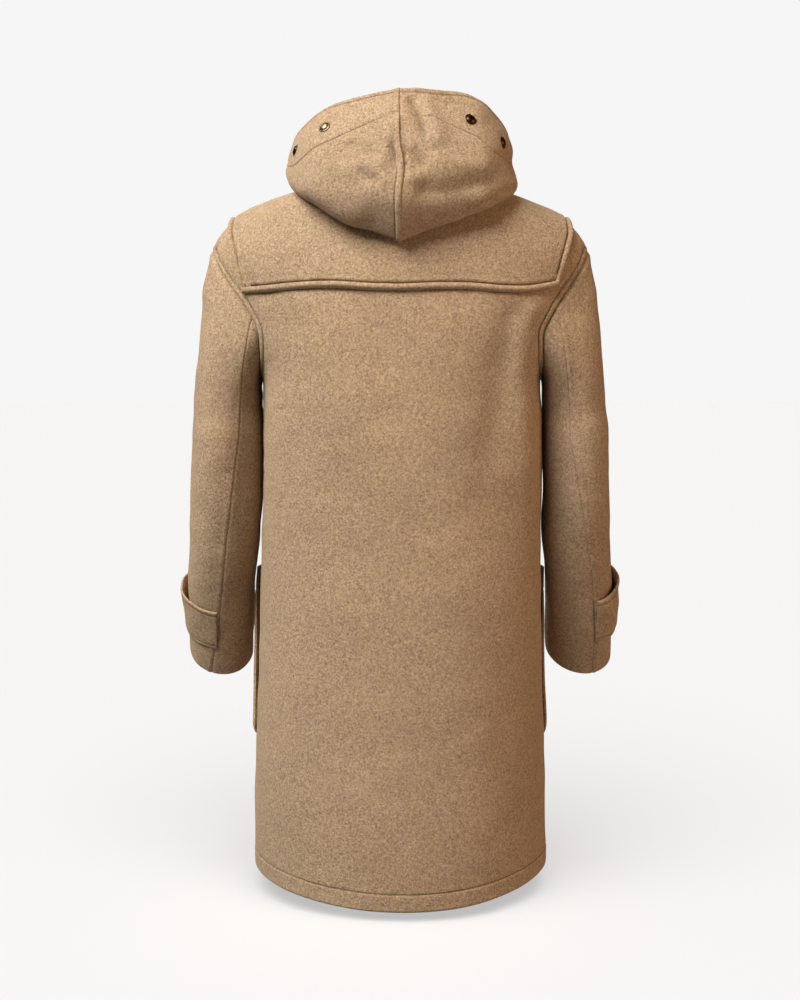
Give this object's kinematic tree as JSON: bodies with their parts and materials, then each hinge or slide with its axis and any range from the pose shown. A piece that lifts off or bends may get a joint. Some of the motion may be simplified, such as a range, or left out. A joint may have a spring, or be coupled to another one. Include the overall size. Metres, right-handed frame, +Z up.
{
  "type": "duffle coat",
  "caption": "Knee-length hooded duffle coat of heavy camel wool, filled out as if worn: shoulder yoke, strapped cuffs, patch pockets, toggle closure and a laid-back snap-trimmed hood.",
  "frame": {"origin": "the middle of the neck, level with the neck ends of the shoulder seams, where a wearer holds the coat up", "axes": "+Z up, the wearer faces -Y, +X to the wearer's left"},
  "size_m": [0.5808, 0.3328, 1.0093],
  "materials": {
    "wool": "camel wool melton, heavy, fulled and softly brushed",
    "wool_trim": "the same melton, in the cuff straps and toggle tabs",
    "brass": "antique brass, domed and darkened",
    "horn": "dark horn, satin polish",
    "cord": "twisted cotton cord"
  },
  "bodies": {
    "root": {"back": "wool", "front_left": "wool", "front_right": "wool", "yoke": "wool", "sleeve_top_left": "wool", "sleeve_under_left": "wool", "cuff_strap_left": "wool_trim", "cuff_button_left": "horn", "pocket_left": "wool", "hood_left": "wool", "sleeve_top_right": "wool", "sleeve_under_right": "wool", "cuff_strap_right": "wool_trim", "cuff_button_right": "horn", "pocket_right": "wool", "hood_right": "wool", "snap_left_upper": "brass", "snap_left_side": "brass", "snap_right_upper": "brass", "snap_right_side": "brass", "toggle_1": "horn", "toggle_tab_left_1": "wool_trim", "toggle_cord_left_1": "cord", "toggle_tab_right_1": "wool_trim", "toggle_cord_right_1": "cord", "toggle_2": "horn", "toggle_tab_left_2": "wool_trim", "toggle_cord_left_2": "cord", "toggle_tab_right_2": "wool_trim", "toggle_cord_right_2": "cord", "toggle_3": "horn", "toggle_tab_left_3": "wool_trim", "toggle_cord_left_3": "cord", "toggle_tab_right_3": "wool_trim", "toggle_cord_right_3": "cord", "toggle_4": "horn", "toggle_tab_left_4": "wool_trim", "toggle_cord_left_4": "cord", "toggle_tab_right_4": "wool_trim", "toggle_cord_right_4": "cord"}
  },
  "joints": []
}
